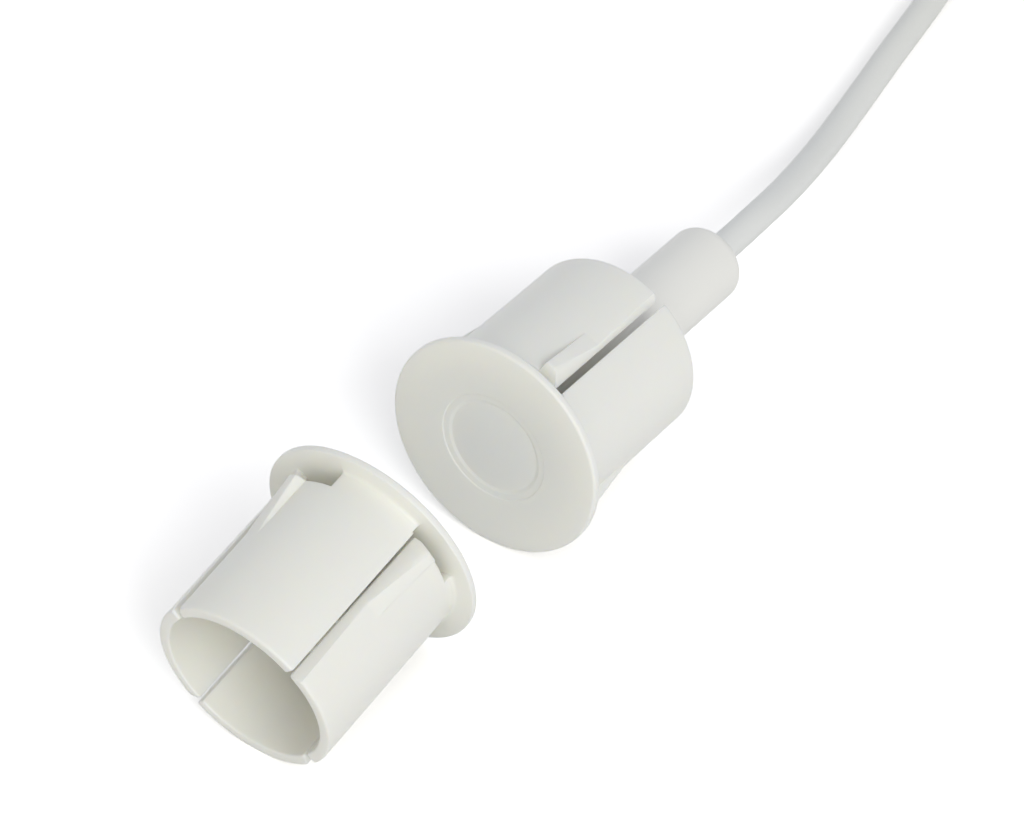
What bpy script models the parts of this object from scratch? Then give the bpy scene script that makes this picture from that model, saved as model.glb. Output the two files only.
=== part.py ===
"""Recessed magnetic contact: a reed switch half with its cable and a magnet half.

Both halves lie on a table as a loose pair, front faces towards each other. Metres, +Z up.
"""

import math

import bmesh
import bpy
from mathutils import Matrix, Vector

# Sleeve moulding, the same in both halves. Heights are along its axis from the flange's seat.
BARREL_RADIUS = 0.0095
BARREL_LENGTH = 0.0190
BARREL_WALL = 0.00115
RIM_OUTER_CHAMFER = 0.00025
RIM_INNER_CHAMFER = 0.0002
FLANGE_RADIUS = 0.0115
FLANGE_THICKNESS = 0.0008
FLANGE_FRONT_ROUND = 0.0003
SEAT_FILLET = 0.0004
RECESS_RADIUS = 0.00585
RECESS_DEPTH = 0.00015
DISH_RADIUS = 0.0046
DISH_DEPTH = 0.00015
RECESS_FLANK = 0.0002

# Slits, spring fingers and barbs of the sleeve
SLITS = 4
SLIT_WIDTH = 0.00072
SLIT_MOUTH_CHAMFER = 0.0004
SLIT_FLANK_CHAMFER = 0.0006
SLIT_FLANK_SLOPE = math.radians(39.0)
SLIT_FLANK_TAPER = math.radians(1.3)
FINGER_ANGLE = math.radians(35.0)
WIDE_WINDOW = 0.00185
NARROW_WINDOW = 0.0009
WINDOW_RELIEF = 0.00005
WINDOW_PAST_SLIT = 0.00016
BARB_ANGLE = math.radians(14.5)
BARB_HEIGHT = 0.0011
BARB_START = 0.0013
BARB_END_RAKE = 0.00045
BARB_RUN = 0.0078

# Socket boss inside the sleeve. The capsule and the magnet have one radius and fit the same socket.
INSERT_RADIUS = 0.0040
SOCKET_CLEARANCE = 0.00015
SOCKET_WALL = 0.0010
SOCKET_HEIGHT = 0.0100
SOCKET_LEAD_IN = 0.0002

# Reed capsule
CAPSULE_WALL = 0.0007
CAPSULE_STANDS_OUT = 0.0175
CAPSULE_END_WALL = 0.0014
CAPSULE_END_ROUND = 0.0014
SEAT_GAP = 0.0003
RESIN_GAP = 0.0001
RESIN_RECESS = 0.0003
CAPSULE_RESIN_DEPTH = 0.0020

# Reed switch on the capsule's axis
GLASS_RADIUS = 0.0011
GLASS_WALL = 0.00035
GLASS_LENGTH = 0.0140
GLASS_FRONT = 0.0080
GLASS_NECK = 0.0012
LEAD_RADIUS = 0.00025
LEAD_CLEARANCE = 0.00008
LEAD_OUTSIDE = 0.0036
BLADE_WIDTH = 0.0009
BLADE_THICKNESS = 0.0002
BLADE_OVERLAP = 0.0012
CONTACT_GAP = 0.0001
SOLDER_RADIUS = 0.0006
SOLDER_GAP = 0.0001

# Magnet and its resin seal
MAGNET_LENGTH = 0.0080
MAGNET_EDGE = 0.0003
MAGNET_RESIN_DEPTH = 0.0011

# Cable: four cores in one round jacket
CABLE_RADIUS = 0.00155
CABLE_CLEARANCE = 0.00015
CABLE_INSIDE = 0.0038
CORE_RADIUS = 0.0004
CORE_PITCH = 0.00055
CORE_GAP = 0.0002
LEAD_LANE = 0.0021
TAMPER_OFFSET = 0.0019
TAMPER_SETBACK = 0.0010
TIP_RADIUS = 0.00024
TIP_LENGTH = 0.0045
CORE_FAN = 0.00145
CORE_FAN_RADIUS = 0.0152
CORE_LENGTH = 0.0150

# Places of the two halves on the table
FACE_GAP = 0.0157
SIDE_OFFSET = 0.0020
SWITCH_ROLL = math.radians(33.4)
MAGNET_ROLL = math.radians(46.0)

# Cable route: distance ahead of the capsule's end, distance to its side, height off the table
CABLE_STRAIGHT = 0.0044
CABLE_ROUTE = [
    (0.0089, 0.0002, 0.0049),
    (0.0141, 0.0008, 0.0036),
    (0.0197, 0.0017, 0.0022),
    (0.0254, 0.0027, 0.0010),
    (0.0314, 0.0037, 0.0003),
    (0.0374, 0.0046, 0.0000),
    (0.0434, 0.0054, 0.0000),
    (0.0494, 0.0061, 0.0000),
    (0.0554, 0.0069, 0.0000),
    (0.0594, 0.0077, 0.0000),
    (0.0634, 0.0090, 0.0000),
    (0.0647, 0.0095, 0.0000),
]
ROUTE_STEP = 0.0070

# Coil of the length that is not laid out, its centre measured as the route is. The top layer fills
# the outer column only, and the cable's end lies on the shelf that this leaves.
COIL_CENTRE = (0.0831, -0.0044)
COIL_COLUMNS = 3
COIL_LAYERS = 7
COIL_MIDDLE_RADIUS = 0.01655
COIL_CORNER = 0.0015
COIL_START = math.radians(111.25)
TAIL_PAST_START = math.radians(234.0)
TAIL_SWEEP = math.radians(216.0)
TAIL_POINTS = 13

# Facets around the turned pieces, the welding distance and how far a cutter runs past its cut
SLEEVE_FACETS = 72
ROUND_FACETS = 48
SMALL_FACETS = 24
ARC_STEPS = 3
MERGE = 0.000001
CUT_PAST = 0.0010

# Colours as linear red, green, blue, with roughness and metallic
FINISHES = {
    "white_plastic": ((0.78, 0.79, 0.76), 0.45, 0.0),
    "grey_jacket": ((0.70, 0.71, 0.67), 0.50, 0.0),
    "clear_resin": ((0.62, 0.60, 0.52), 0.30, 0.0),
    "glass": ((0.60, 0.72, 0.66), 0.08, 0.0),
    "reed_metal": ((0.60, 0.58, 0.54), 0.30, 1.0),
    "magnet_nickel": ((0.62, 0.61, 0.58), 0.25, 1.0),
    "solder": ((0.55, 0.55, 0.56), 0.35, 1.0),
    "core_white": ((0.80, 0.80, 0.78), 0.45, 0.0),
    "core_brown": ((0.16, 0.07, 0.03), 0.45, 0.0),
    "core_yellow": ((0.80, 0.60, 0.05), 0.45, 0.0),
    "core_green": ((0.05, 0.35, 0.10), 0.45, 0.0),
}
CORE_COLOURS = ("white", "brown", "yellow", "green")

# Sizes that follow from the ones above
BORE_RADIUS = BARREL_RADIUS - BARREL_WALL
SOCKET_RADIUS = INSERT_RADIUS + SOCKET_CLEARANCE
CAPSULE_LENGTH = BARREL_LENGTH + CAPSULE_STANDS_OUT - SEAT_GAP
CAPSULE_END = SEAT_GAP + CAPSULE_LENGTH
CAPSULE_BORE = INSERT_RADIUS - CAPSULE_WALL
REST_TILT = math.atan2(FLANGE_RADIUS - BARREL_RADIUS, BARREL_LENGTH - RIM_OUTER_CHAMFER)
IN_WINDOW = 0.5 * min(WIDE_WINDOW, NARROW_WINDOW)
COIL_PITCH = 2.0 * CABLE_RADIUS
COIL_HALF_WIDTH = 0.5 * COIL_COLUMNS * COIL_PITCH
COIL_HEIGHT = COIL_LAYERS * COIL_PITCH
SHELF_HEIGHT = COIL_HEIGHT - COIL_PITCH
SHELF_RADIUS = COIL_MIDDLE_RADIUS + COIL_HALF_WIDTH - COIL_PITCH
TAIL_LANE = SHELF_RADIUS - SEAT_GAP - CABLE_RADIUS


def clear_scene():
    """Remove what the opened file holds."""
    for thing in list(bpy.data.objects):
        bpy.data.objects.remove(thing, do_unlink=True)
    for group in list(bpy.data.collections):
        bpy.data.collections.remove(group)


def make_collection(name):
    """A new collection under the scene's own."""
    group = bpy.data.collections.new(name)
    bpy.context.scene.collection.children.link(group)
    return group


def finish(name):
    """The Principled material of one finish, made once."""
    material = bpy.data.materials.get(name)
    if material is None:
        colour, roughness, metallic = FINISHES[name]
        material = bpy.data.materials.new(name)
        material.use_nodes = True
        shader = material.node_tree.nodes["Principled BSDF"]
        shader.inputs["Base Color"].default_value = (*colour, 1.0)
        shader.inputs["Roughness"].default_value = roughness
        shader.inputs["Metallic"].default_value = metallic
    return material


def place(piece, group, material=None, parent=None):
    """Put an object in its collection, under its parent, with its finish."""
    group.objects.link(piece)
    piece.parent = parent
    if material is not None:
        piece.data.materials.append(finish(material))
    return piece


def hide_tool(piece):
    """A cutter or other construction piece stays out of renders."""
    piece.hide_render = True
    piece.display_type = "WIRE"


def arc(centre, radius, start, end, steps=ARC_STEPS):
    """Points of a circular arc in a profile, both ends included."""
    return [
        (
            centre[0] + radius * math.cos(start + (end - start) * k / steps),
            centre[1] + radius * math.sin(start + (end - start) * k / steps),
        )
        for k in range(steps + 1)
    ]


def turned(name, profile, facets, closed=False):
    """Revolve an (r, z) profile about Z. Its outer side runs from top to bottom.

    The first edge lies half a facet past +X, clear of cuts at whole degrees.
    """
    mesh = bpy.data.meshes.new(name)
    shape = bmesh.new()
    first_angle = math.pi / facets
    corners = [shape.verts.new((r * math.cos(first_angle), r * math.sin(first_angle), z))
               for r, z in profile]
    for first, second in zip(corners, corners[1:]):
        shape.edges.new((first, second))
    if closed:
        shape.edges.new((corners[-1], corners[0]))
    shape.to_mesh(mesh)
    shape.free()
    piece = bpy.data.objects.new(name, mesh)
    screw = piece.modifiers.new("revolve", "SCREW")
    screw.angle = 2.0 * math.pi
    screw.steps = facets
    screw.render_steps = facets
    screw.use_merge_vertices = True
    screw.merge_threshold = MERGE
    screw.use_smooth_shade = True
    return piece


def baked(piece, group):
    """The evaluated mesh of a linked piece, welded."""
    group.objects.link(piece)
    bpy.context.view_layer.update()
    seen = piece.evaluated_get(bpy.context.evaluated_depsgraph_get())
    mesh = bpy.data.meshes.new_from_object(seen)
    group.objects.unlink(piece)
    shape = bmesh.new()
    shape.from_mesh(mesh)
    bmesh.ops.remove_doubles(shape, verts=shape.verts, dist=MERGE)
    shape.to_mesh(mesh)
    shape.free()
    return mesh


def prism(name, outline, low, high, group):
    """A flat outline in XY, given counter-clockwise, extruded from low to high."""
    curve = bpy.data.curves.new(name, "CURVE")
    curve.dimensions = "2D"
    curve.fill_mode = "BOTH"
    curve.extrude = 0.5 * (high - low)
    line = curve.splines.new("POLY")
    line.points.add(len(outline) - 1)
    for point, (x, y) in zip(line.points, outline):
        point.co = (x, y, 0.0, 1.0)
    line.use_cyclic_u = True
    flat = bpy.data.objects.new(name, curve)
    mesh = baked(flat, group)
    mesh.transform(Matrix.Translation((0.0, 0.0, 0.5 * (low + high))))
    bpy.data.objects.remove(flat)
    bpy.data.curves.remove(curve)
    return mesh


def sector(inner, outer, start, end, steps):
    """Outline of an annular sector, counter-clockwise from start to end."""
    return arc((0.0, 0.0), outer, start, end, steps) + arc((0.0, 0.0), inner, end, start, steps)


def around_slits(name, meshes, group):
    """One tool made of a mesh for each slit, turned to its slit."""
    shape = bmesh.new()
    for k in range(SLITS):
        mesh = meshes[k % len(meshes)].copy()
        mesh.transform(Matrix.Rotation(2.0 * math.pi * k / SLITS, 4, "Z"))
        shape.from_mesh(mesh)
    mesh = bpy.data.meshes.new(name)
    shape.to_mesh(mesh)
    shape.free()
    tool = bpy.data.objects.new(name, mesh)
    place(tool, group)
    hide_tool(tool)
    return tool


def boolean(piece, tool, operation, solver="EXACT"):
    """A live Boolean."""
    step = piece.modifiers.new(tool.name, "BOOLEAN")
    step.operation = operation
    step.object = tool
    step.solver = solver


def sleeve_profile():
    """Section of the sleeve from the socket's floor, over the rims, to the front dish."""
    rim_in = BORE_RADIUS + RIM_INNER_CHAMFER
    rim_out = BARREL_RADIUS - RIM_OUTER_CHAMFER
    socket_out = SOCKET_RADIUS + SOCKET_WALL
    front = -FLANGE_THICKNESS
    fillet = (BARREL_RADIUS + SEAT_FILLET, SEAT_FILLET)
    edge = (FLANGE_RADIUS - FLANGE_FRONT_ROUND, front + FLANGE_FRONT_ROUND)
    return [
        (0.0, 0.0),
        (SOCKET_RADIUS, 0.0),
        (SOCKET_RADIUS, SOCKET_HEIGHT - SOCKET_LEAD_IN),
        (SOCKET_RADIUS + SOCKET_LEAD_IN, SOCKET_HEIGHT),
        (socket_out, SOCKET_HEIGHT),
        (socket_out, 0.0),
        (BORE_RADIUS, 0.0),
        (BORE_RADIUS, BARREL_LENGTH - RIM_INNER_CHAMFER),
        (rim_in, BARREL_LENGTH),
        (rim_out, BARREL_LENGTH),
        (BARREL_RADIUS, BARREL_LENGTH - RIM_OUTER_CHAMFER),
        *arc(fillet, SEAT_FILLET, math.pi, 1.5 * math.pi),
        (FLANGE_RADIUS, 0.0),
        *arc(edge, FLANGE_FRONT_ROUND, 0.0, -0.5 * math.pi),
        (RECESS_RADIUS, front),
        (RECESS_RADIUS - RECESS_FLANK, front + RECESS_DEPTH),
        (DISH_RADIUS, front + RECESS_DEPTH),
        (DISH_RADIUS - RECESS_FLANK, front + RECESS_DEPTH + DISH_DEPTH),
        (0.0, front + RECESS_DEPTH + DISH_DEPTH),
    ]


def barbs(group):
    """Tapered pads on the fingers: a cone-shaped collar kept only beside each slit."""
    buried = BARREL_RADIUS - 0.5 * BARREL_WALL
    top = BARREL_RADIUS + BARB_HEIGHT
    rise = BARB_HEIGHT / BARB_RUN
    tail = BARB_START + BARB_RUN + (BARREL_RADIUS - buried) / rise
    rake = BARB_END_RAKE / BARB_HEIGHT
    heel = BARB_START + (top - buried) * rake
    collar = turned("barb_collar", [(buried, tail), (top, BARB_START), (buried, heel)],
                    SLEEVE_FACETS, closed=True)
    place(collar, group)
    hide_tool(collar)
    in_slit = math.asin(0.4 * SLIT_WIDTH / BARREL_RADIUS)
    outline = sector(buried - CUT_PAST, top + CUT_PAST, -BARB_ANGLE, -in_slit, 4)
    keep = around_slits("barb_sectors", [prism("barb_sector", outline, 0.0, BARREL_LENGTH, group)],
                        group)
    boolean(collar, keep, "INTERSECT")
    return collar


def slit_tool(group):
    """Slits from the windows to the open end."""
    inner = BORE_RADIUS - CUT_PAST
    outer = BARREL_RADIUS + BARB_HEIGHT + CUT_PAST
    half = 0.5 * SLIT_WIDTH
    slot = [(inner, -half), (outer, -half), (outer, half), (inner, half)]
    return around_slits(
        "slits", [prism("slit", slot, IN_WINDOW, BARREL_LENGTH + CUT_PAST, group)], group)


def mouth_tool(group):
    """The vee at each slit's mouth: a small square bar on its edge, lying along the radius."""
    side = math.sqrt(2.0) * (0.5 * SLIT_WIDTH + SLIT_MOUTH_CHAMFER)
    half = 0.5 * side
    square = [(-half, -half), (half, -half), (half, half), (-half, half)]
    bar = prism("mouth", square, BORE_RADIUS - CUT_PAST, BARREL_RADIUS + CUT_PAST, group)
    bar.transform(Matrix.Rotation(math.radians(45.0), 4, "Z"))
    bar.transform(Matrix.Rotation(math.radians(90.0), 4, "Y"))
    bar.transform(Matrix.Translation((0.0, 0.0, BARREL_LENGTH)))
    return around_slits("mouths", [bar], group)


def window_tool(group):
    """Windows that free each finger's end from the flange, in wide and narrow pairs."""
    inner = BORE_RADIUS - CUT_PAST
    outer = BARREL_RADIUS + 2.0 * SEAT_FILLET
    past = math.asin((0.5 * SLIT_WIDTH + WINDOW_PAST_SLIT) / BARREL_RADIUS)
    outline = sector(inner, outer, -FINGER_ANGLE, past, 9)
    cuts = [prism("window", outline, -WINDOW_RELIEF, height, group)
            for height in (WIDE_WINDOW, NARROW_WINDOW)]
    return around_slits("windows", cuts, group)


def flank_tool(group):
    """A sloped cut along one edge of each slit: a wedge, tilted so that it cuts deeper at the barb."""
    rise = math.tan(SLIT_FLANK_SLOPE)
    width = SLIT_FLANK_CHAMFER + BARREL_LENGTH * math.tan(SLIT_FLANK_TAPER) / rise + CUT_PAST
    edge_y = -0.25 * SLIT_WIDTH
    edge_x = BARREL_RADIUS - (SLIT_FLANK_CHAMFER + 0.5 * SLIT_WIDTH + edge_y) * rise
    outline = [(edge_x, edge_y), (edge_x + width * rise, edge_y - width),
               (edge_x + width * rise, edge_y)]
    wedge = prism("flank", outline, IN_WINDOW - BARREL_LENGTH, CUT_PAST, group)
    wedge.transform(Matrix.Rotation(-SLIT_FLANK_TAPER, 4, "Y"))
    wedge.transform(Matrix.Translation((0.0, 0.0, BARREL_LENGTH)))
    return around_slits("flanks", [wedge], group)


def sleeve_mesh(group):
    """The sleeve moulding: revolved body, barbs joined on, slits and windows cut out.

    The cuts run through the joined barbs, where the exact solver loses the body.
    """
    body = turned("sleeve_body", sleeve_profile(), SLEEVE_FACETS)
    place(body, group)
    hide_tool(body)
    boolean(body, barbs(group), "UNION", "MANIFOLD")
    for tool in (slit_tool(group), mouth_tool(group), window_tool(group), flank_tool(group)):
        boolean(body, tool, "DIFFERENCE", "MANIFOLD")
    group.objects.unlink(body)
    mesh = baked(body, group)
    group.objects.link(body)
    mesh.name = "sleeve"
    mesh.materials.clear()
    mesh.materials.append(finish("white_plastic"))
    mesh.shade_smooth()
    mesh.set_sharp_from_angle(angle=math.radians(25.0))
    return mesh


def half_frame(name, group, x, y, yaw):
    """An empty on a half's axis at the flange's seat, +Z towards the open end."""
    frame = bpy.data.objects.new(name, None)
    frame.location = (x, y, FLANGE_RADIUS * math.cos(REST_TILT))
    frame.rotation_euler = (0.0, 0.5 * math.pi + REST_TILT, yaw)
    frame.empty_display_size = FLANGE_RADIUS
    group.objects.link(frame)
    return frame


def sleeve(name, mesh, roll, frame, group):
    """One half's sleeve, turned about its axis as it lies."""
    piece = bpy.data.objects.new(name, mesh)
    piece.rotation_euler = (0.0, 0.0, math.pi + roll)
    group.objects.link(piece)
    piece.parent = frame
    return piece


def disc(name, radius, low, high, edge, facets, material, frame, group):
    """A solid turned disc or pin with a small chamfer at both rims."""
    profile = [(0.0, high), (radius - edge, high), (radius, high - edge),
               (radius, low + edge), (radius - edge, low), (0.0, low)]
    return place(turned(name, profile, facets), group, material, frame)


def reed_capsule(frame, group):
    """Capsule tube, open in front, with a rounded end wall that the cable passes."""
    hole = CABLE_RADIUS + CABLE_CLEARANCE
    corner = (INSERT_RADIUS - CAPSULE_END_ROUND, CAPSULE_END - CAPSULE_END_ROUND)
    profile = [
        (CAPSULE_BORE, SEAT_GAP),
        (CAPSULE_BORE, CAPSULE_END - CAPSULE_END_WALL),
        (hole, CAPSULE_END - CAPSULE_END_WALL),
        (hole, CAPSULE_END),
        *arc(corner, CAPSULE_END_ROUND, 0.5 * math.pi, 0.0, 4),
        (INSERT_RADIUS, SEAT_GAP),
    ]
    piece = turned("reed_capsule", profile, ROUND_FACETS, closed=True)
    return place(piece, group, "white_plastic", frame)


def reed_glass(frame, group):
    """Glass tube of the reed, drawn in around the lead at both ends."""
    back = GLASS_FRONT + GLASS_LENGTH
    hole = LEAD_RADIUS + LEAD_CLEARANCE
    bore = GLASS_RADIUS - GLASS_WALL
    mouth = hole + GLASS_WALL
    front_neck = GLASS_FRONT + GLASS_NECK
    back_neck = back - GLASS_NECK
    profile = [
        (hole, GLASS_FRONT), (hole, front_neck), (bore, front_neck + GLASS_WALL),
        (bore, back_neck - GLASS_WALL), (hole, back_neck), (hole, back),
        (mouth, back), (GLASS_RADIUS, back_neck), (GLASS_RADIUS, front_neck),
        (mouth, GLASS_FRONT),
    ]
    piece = turned("reed_glass", profile, SMALL_FACETS, closed=True)
    return place(piece, group, "glass", frame)


def reed_blade(name, outer_end, side, frame, tools, group):
    """A round lead that is flattened to a blade inside the glass."""
    middle = GLASS_FRONT + 0.5 * GLASS_LENGTH
    inward = 1.0 if outer_end < middle else -1.0
    tip = middle + inward * 0.5 * BLADE_OVERLAP
    root = middle - inward * (0.5 * GLASS_LENGTH - GLASS_NECK - 2.0 * GLASS_WALL)
    low, high = sorted((outer_end, root + inward * BLADE_WIDTH))
    lead = disc(name, LEAD_RADIUS, low, high, 0.2 * LEAD_RADIUS, SMALL_FACETS,
                "reed_metal", frame, group)
    centre = side * 0.5 * (BLADE_THICKNESS + CONTACT_GAP)
    near = centre - 0.5 * BLADE_THICKNESS
    far = centre + 0.5 * BLADE_THICKNESS
    half = 0.5 * BLADE_WIDTH
    outline = [(near, -half), (far, -half), (far, half), (near, half)]
    first, last = sorted((root, tip))
    blade = bpy.data.objects.new(name + "_blade", prism(name, outline, first, last, tools))
    place(blade, tools, None, frame)
    hide_tool(blade)
    boolean(lead, blade, "UNION")
    return lead


def solder(name, centre, frame, group):
    """A drop of solder that joins a core to a lead."""
    mesh = bpy.data.meshes.new(name)
    shape = bmesh.new()
    bmesh.ops.create_uvsphere(shape, u_segments=12, v_segments=8, radius=SOLDER_RADIUS,
                              matrix=Matrix.Translation(centre))
    shape.to_mesh(mesh)
    shape.free()
    mesh.shade_smooth()
    return place(bpy.data.objects.new(name, mesh), group, "solder", frame)


def smooth_points(points, step):
    """Points about one step apart on a smooth curve through the given points."""
    knots = [Vector(p) for p in points]
    ends = [2.0 * knots[0] - knots[1], *knots, 2.0 * knots[-1] - knots[-2]]
    fine = []
    for a, b, c, d in zip(ends, ends[1:], ends[2:], ends[3:]):
        for k in range(16):
            t = k / 16.0
            fine.append(0.5 * (2.0 * b + (c - a) * t + (2.0 * a - 5.0 * b + 4.0 * c - d) * t * t
                               + (3.0 * b - a - 3.0 * c + d) * t * t * t))
    fine.append(knots[-1])
    along = [0.0]
    for first, second in zip(fine, fine[1:]):
        along.append(along[-1] + (second - first).length)
    count = max(2, round(along[-1] / step))
    spots = []
    k = 0
    for n in range(count + 1):
        wanted = along[-1] * n / count
        while k < len(fine) - 2 and along[k + 1] < wanted:
            k += 1
        share = (wanted - along[k]) / (along[k + 1] - along[k])
        spots.append(fine[k].lerp(fine[k + 1], share))
    return spots


def wire(name, points, radius, material, group, parent=None):
    """A round wire or cable through the points, closed at both ends."""
    curve = bpy.data.curves.new(name, "CURVE")
    curve.dimensions = "3D"
    curve.bevel_depth = radius
    curve.bevel_resolution = 2
    curve.use_fill_caps = True
    line = curve.splines.new("POLY")
    line.points.add(len(points) - 1)
    for point, spot in zip(line.points, points):
        point.co = (*spot, 1.0)
    return place(bpy.data.objects.new(name, curve), group, material, parent)


def inner_leads(frame, group):
    """The four core ends inside the capsule, from the jacket to their solder joints."""
    start = CAPSULE_END - CABLE_INSIDE - CORE_GAP
    back_joint = GLASS_FRONT + GLASS_LENGTH + LEAD_OUTSIDE + SOLDER_GAP + SOLDER_RADIUS
    front_joint = GLASS_FRONT - LEAD_OUTSIDE - SOLDER_GAP - SOLDER_RADIUS
    tamper_joint = back_joint - TAMPER_SETBACK
    reach = SOLDER_RADIUS + SOLDER_GAP
    side = CORE_RADIUS + SOLDER_GAP
    step = 2.5 * CORE_RADIUS
    run = start - back_joint - reach
    parting = start - 0.2 * run
    apart = start - 0.55 * run
    routes = {
        "white": [(CORE_PITCH, CORE_PITCH, start), (LEAD_LANE, CORE_PITCH, start - 0.35 * run),
                  (LEAD_LANE, 0.0, start - 0.9 * run), (LEAD_LANE, 0.0, GLASS_FRONT),
                  (LEAD_LANE, 0.0, front_joint + 2.0 * step),
                  (0.5 * (LEAD_LANE + reach), 0.0, front_joint + 0.3 * step),
                  (reach + 0.5 * SOLDER_GAP, 0.0, front_joint)],
        "brown": [(CORE_PITCH, -CORE_PITCH, start), (0.5 * CORE_PITCH, -CORE_PITCH, parting),
                  (0.0, 0.0, apart), (0.0, 0.0, back_joint + reach)],
        "yellow": [(-CORE_PITCH, CORE_PITCH, start), (-CORE_PITCH, CORE_PITCH, parting),
                   (-TAMPER_OFFSET, side, apart), (-TAMPER_OFFSET, side, tamper_joint + reach)],
        "green": [(-CORE_PITCH, -CORE_PITCH, start), (-CORE_PITCH, -CORE_PITCH, parting),
                  (-TAMPER_OFFSET, -side, apart), (-TAMPER_OFFSET, -side, tamper_joint + reach)],
    }
    for colour, points in routes.items():
        wire("lead_" + colour, smooth_points(points, step), CORE_RADIUS, "core_" + colour,
             group, frame)
    solder("solder_front", (0.0, 0.0, front_joint), frame, group)
    solder("solder_rear", (0.0, 0.0, back_joint), frame, group)
    solder("solder_tamper", (-TAMPER_OFFSET, 0.0, tamper_joint), frame, group)


def reed_unit(frame, tools, group):
    """Capsule with resin, reed switch, core ends and solder joints."""
    reed_capsule(frame, group)
    disc("capsule_resin", CAPSULE_BORE - RESIN_GAP, SEAT_GAP + RESIN_RECESS,
         SEAT_GAP + RESIN_RECESS + CAPSULE_RESIN_DEPTH, RESIN_GAP, ROUND_FACETS, "clear_resin",
         frame, group)
    reed_glass(frame, group)
    reed_blade("reed_blade_front", GLASS_FRONT - LEAD_OUTSIDE, 1.0, frame, tools, group)
    reed_blade("reed_blade_rear", GLASS_FRONT + GLASS_LENGTH + LEAD_OUTSIDE, -1.0, frame, tools,
               group)
    inner_leads(frame, group)


def magnet_unit(frame, group):
    """Magnet in the socket, sealed in with resin."""
    top = SEAT_GAP + MAGNET_LENGTH
    disc("magnet", INSERT_RADIUS, SEAT_GAP, top, MAGNET_EDGE, ROUND_FACETS, "magnet_nickel",
         frame, group)
    disc("magnet_resin", SOCKET_RADIUS - RESIN_GAP, top + RESIN_GAP,
         top + RESIN_GAP + MAGNET_RESIN_DEPTH, RESIN_GAP, ROUND_FACETS, "clear_resin",
         frame, group)


def cable(frame, group):
    """Cable from inside the capsule along the table to the coil, and its end on the coil."""
    inside, end, straight = (frame.matrix_world @ Vector((0.0, 0.0, along))
                             for along in (CAPSULE_END - CABLE_INSIDE, CAPSULE_END,
                                           CAPSULE_END + CABLE_STRAIGHT))
    route = [Vector((end.x + ahead, end.y + aside, CABLE_RADIUS + height))
             for ahead, aside, height in CABLE_ROUTE]
    wire("cable_run", smooth_points([inside, end, straight, *route], ROUTE_STEP), CABLE_RADIUS,
         "grey_jacket", group)

    centre = Vector((end.x + COIL_CENTRE[0], end.y + COIL_CENTRE[1], 0.0))
    outer = COIL_MIDDLE_RADIUS + COIL_HALF_WIDTH - COIL_CORNER
    inner = COIL_MIDDLE_RADIUS - COIL_HALF_WIDTH + COIL_CORNER
    quarter = 0.5 * math.pi
    section = [*arc((outer, COIL_HEIGHT - COIL_CORNER), COIL_CORNER, quarter, 0.0),
               *arc((outer, COIL_CORNER), COIL_CORNER, 0.0, -quarter),
               *arc((inner, COIL_CORNER), COIL_CORNER, -quarter, -math.pi),
               *arc((inner, SHELF_HEIGHT - COIL_CORNER), COIL_CORNER, math.pi, quarter),
               (SHELF_RADIUS, SHELF_HEIGHT),
               *arc((SHELF_RADIUS + COIL_CORNER, COIL_HEIGHT - COIL_CORNER), COIL_CORNER,
                    math.pi, quarter)]
    coil = turned("cable_coil", section, ROUND_FACETS, closed=True)
    coil.location = centre
    place(coil, group, "grey_jacket")

    height = SHELF_HEIGHT + SEAT_GAP + CABLE_RADIUS
    points = [on_coil(centre, -TAIL_SWEEP * TAIL_LANE * (1.0 - k / (TAIL_POINTS - 1)), TAIL_LANE,
                      height) for k in range(TAIL_POINTS)]
    wire("cable_tail", points, CABLE_RADIUS, "grey_jacket", group)
    free_cores(centre, height, group)


def on_coil(centre, ahead, radius, height):
    """A point on the coil, some distance ahead of the cable's end along the tail's lane."""
    angle = COIL_START - TAIL_PAST_START - ahead / TAIL_LANE
    return centre + Vector((radius * math.cos(angle), radius * math.sin(angle), height))


def free_cores(centre, height, group):
    """The far end: four cores fan out of the jacket along the coil, each with a tinned tip."""
    lanes = (-1.5, -0.5, 0.5, 1.5)
    sides = (-1.0, -1.0, 1.0, 1.0)
    levels = (1.0, -1.0, -1.0, 1.0)
    rest = SHELF_HEIGHT + SEAT_GAP + CORE_RADIUS
    for colour, lane, side, level in zip(CORE_COLOURS, lanes, sides, levels):
        root = TAIL_LANE + side * CORE_PITCH
        high = height + level * CORE_PITCH
        apart = CORE_FAN_RADIUS + lane * CORE_FAN
        points = [on_coil(centre, ahead, root, high) for ahead in (CORE_GAP, 4.0 * CORE_RADIUS)]
        for along, spread, lift in ((0.3, 0.4, 0.6), (0.55, 0.85, 0.1), (0.8, 1.0, 0.0),
                                    (1.0, 1.0, 0.0)):
            up = lift * (high - rest) if level > 0.0 else 0.0
            points.append(on_coil(centre, along * CORE_LENGTH, root + spread * (apart - root),
                                  rest + up))
        wire("core_" + colour, smooth_points(points, 4.0 * CORE_RADIUS), CORE_RADIUS,
             "core_" + colour, group)
        tip = [on_coil(centre, CORE_LENGTH + CORE_GAP + share * TIP_LENGTH, apart, rest)
               for share in (0.0, 0.33, 0.67, 1.0)]
        wire("tip_" + colour, tip, TIP_RADIUS, "solder", group)


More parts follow.
